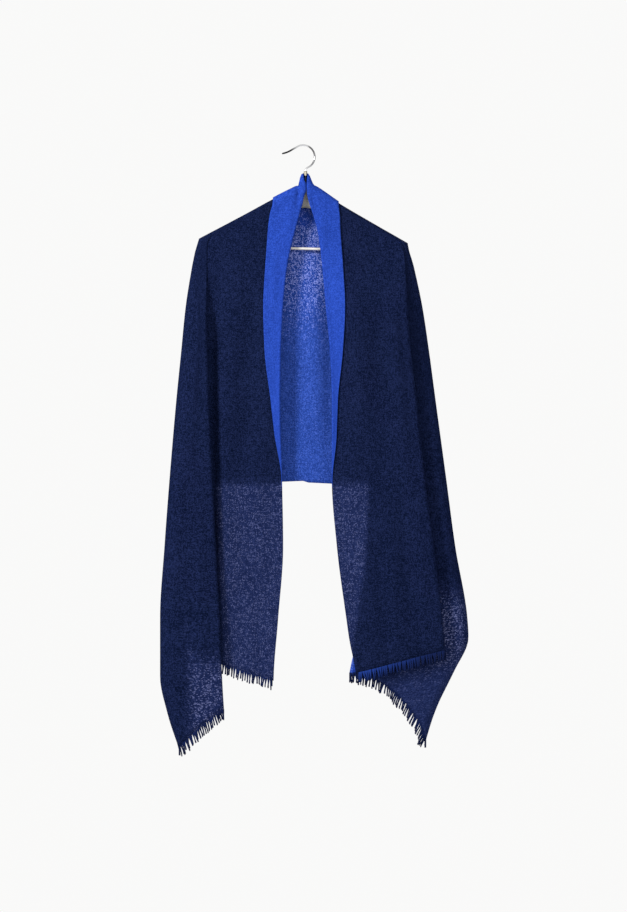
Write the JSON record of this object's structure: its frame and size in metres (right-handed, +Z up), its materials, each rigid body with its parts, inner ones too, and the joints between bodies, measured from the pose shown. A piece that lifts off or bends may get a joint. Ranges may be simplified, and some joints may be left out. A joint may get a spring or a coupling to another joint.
{
  "type": "stole on a clothes hanger",
  "caption": "Thin fringed stole hung round a slim hanger, one long edge turned out as a shawl collar and both ends dropping in front in long folds.",
  "frame": {"origin": "inside top of the hook, where it rests on a rail", "axes": "+Z up, -Y towards the viewer of the front, +X to the viewer's right"},
  "size_m": [0.5558, 0.0609, 1.1076],
  "materials": {
    "cloth_navy": "matte open plain weave, navy outer face",
    "cloth_cobalt": "matte open plain weave, cobalt inner face",
    "fringe": "loose soft yarn",
    "hook_steel": "bright wire",
    "ferrule": "dull dark",
    "hanger_wood": "satin",
    "bar_wood": "pale satin"
  },
  "bodies": {
    "root": {"cloth_back": "cloth_navy", "cloth_left_front": "cloth_navy", "cloth_left_front_tuck": "cloth_navy", "cloth_left_front_side": "cloth_navy", "cloth_left_back_side": "cloth_navy", "cloth_left_back_tuck": "cloth_navy", "cloth_right_front": "cloth_navy", "cloth_right_front_tuck": "cloth_navy", "cloth_right_front_side": "cloth_navy", "cloth_right_back_side": "cloth_navy", "cloth_right_back_tuck": "cloth_navy", "collar_left": "cloth_cobalt", "collar_right": "cloth_cobalt", "collar_back": "cloth_cobalt", "fringe_left": "fringe", "fringe_right": "fringe", "hanger_hook": "hook_steel", "hanger_ferrule": "ferrule", "hanger_shoulders": "hanger_wood", "hanger_bar": "bar_wood"}
  },
  "joints": []
}
